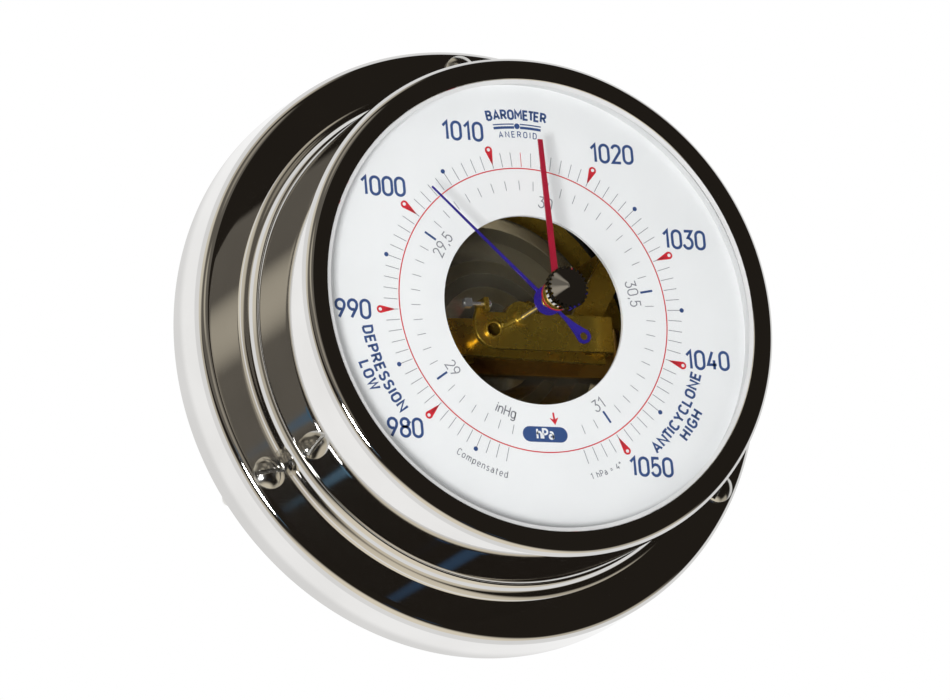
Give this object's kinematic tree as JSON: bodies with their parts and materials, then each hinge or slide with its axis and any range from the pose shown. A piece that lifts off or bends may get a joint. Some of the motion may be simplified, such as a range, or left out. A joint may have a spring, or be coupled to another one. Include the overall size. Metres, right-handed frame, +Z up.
{
  "type": "aneroid barometer",
  "caption": "Round wall-mounted aneroid barometer in a deep polished metal case, with a domed glass, open dial, pressure hand and knob-set marker hand.",
  "frame": {"origin": "centre of the case's back rim, on the wall plane", "axes": "+Z up the dial towards its top, -Y out of the wall towards the reader, +X to the reader's right"},
  "size_m": [0.1296, 0.0652, 0.1296],
  "materials": {
    "chrome": "mirror polished nickel-chrome",
    "screw_steel": "polished slotted screws",
    "glass": "clear domed glass",
    "gasket": "light grey ring",
    "dial_white": "satin white printed dial",
    "back_metal": "black lacquered steel",
    "brass": "lacquered brass",
    "steel": "steel",
    "spring_steel": "tempered spring metal",
    "capsule_metal": "nickel silver diaphragm",
    "blue_hand": "blue lacquer",
    "red_hand": "red lacquer"
  },
  "bodies": {
    "case": {"wall_flange": "chrome", "case_body": "chrome", "flange_nut": "brass", "bezel": "chrome", "glass": "glass", "glass_gasket": "gasket", "dial_ring": "dial_white", "dial_plate": "dial_white", "case_back": "back_metal", "wall_screws": "screw_steel", "case_back_screws": "steel", "movement_screws": "steel", "movement_plate": "brass", "movement_feet": "brass", "capsule_front": "capsule_metal", "capsule_rear": "capsule_metal", "capsule_stud": "brass", "main_spring": "spring_steel", "spring_screws": "steel", "lower_bridge": "brass", "bridge_pillars": "brass", "bridge_screws": "steel", "bridge_plate": "brass", "bridge_eyelet": "brass", "range_screw": "steel", "hairspring": "spring_steel", "hairspring_stud": "brass", "glass_bush": "brass", "bush_nut": "steel", "bush_washer": "gasket"},
    "sector": {"sector": "brass", "sector_arbor": "steel"},
    "pointer": {"arbor": "steel", "pinion": "brass", "hairspring_collet": "brass", "hand_collet": "brass", "pressure_hand": "blue_hand"},
    "rocker": {"rocking_shaft": "steel"},
    "link": {"link": "steel"},
    "lever": {"spring_lever": "brass"},
    "capsule_top": {"capsule_post": "brass", "capsule_nut": "brass"},
    "set_pointer": {"set_hand": "red_hand", "set_spindle": "steel", "knob": "chrome"},
    "adjuster": {"adjusting_screw": "steel"}
  },
  "joints": [
    {"name": "sector_turn", "type": "hinge", "parent": "case", "child": "sector", "pos_m": [0.0152, -0.0286, -0.00351], "axis": [0, -1, 0], "range_deg": [-9.86, 17.48]},
    {"name": "pointer_turn", "type": "hinge", "parent": "case", "child": "pointer", "pos_m": [0, -0.0286, 0], "axis": [0, -1, 0], "range_deg": [-209.8, 118.36], "deforming": ["hairspring"]},
    {"name": "rocking_shaft_turn", "type": "hinge", "parent": "case", "child": "rocker", "pos_m": [0, -0.0235, -0.00351], "axis": [1, 0, 0], "range_deg": [-8.57, 4.83]},
    {"name": "link_lift", "type": "slide", "parent": "case", "child": "link", "axis": [0, -1, 0], "range_m": [-0.0004069, 0.0002295]},
    {"name": "spring_lever_bend", "type": "hinge", "parent": "case", "child": "lever", "pos_m": [0.027, -0.0187, 0], "axis": [0, 0, 1], "range_deg": [-0.63, 0.3554], "deforming": ["main_spring"]},
    {"name": "capsule_breath", "type": "slide", "parent": "case", "child": "capsule_top", "axis": [0, -1, 0], "range_m": [-0.0002969, 0.0001675], "deforming": ["capsule_front"]},
    {"name": "set_hand_turn", "type": "hinge", "parent": "case", "child": "set_pointer", "pos_m": [0, -0.05, 0], "axis": [0, -1, 0], "continuous": true},
    {"name": "adjusting_screw_turn", "type": "hinge", "parent": "case", "child": "adjuster", "pos_m": [0, -0.0075, 0], "axis": [0, -1, 0], "range_deg": [-180, 180]}
  ],
  "couplings": [
    {"joint": "pointer_turn", "follows": "sector_turn", "ratio": -12},
    {"joint": "rocking_shaft_turn", "follows": "sector_turn", "ratio": -0.4902},
    {"joint": "link_lift", "follows": "sector_turn", "m_per_rad": -0.0013333},
    {"joint": "spring_lever_bend", "follows": "sector_turn", "ratio": -0.036036},
    {"joint": "capsule_breath", "follows": "sector_turn", "m_per_rad": -0.00097297}
  ]
}
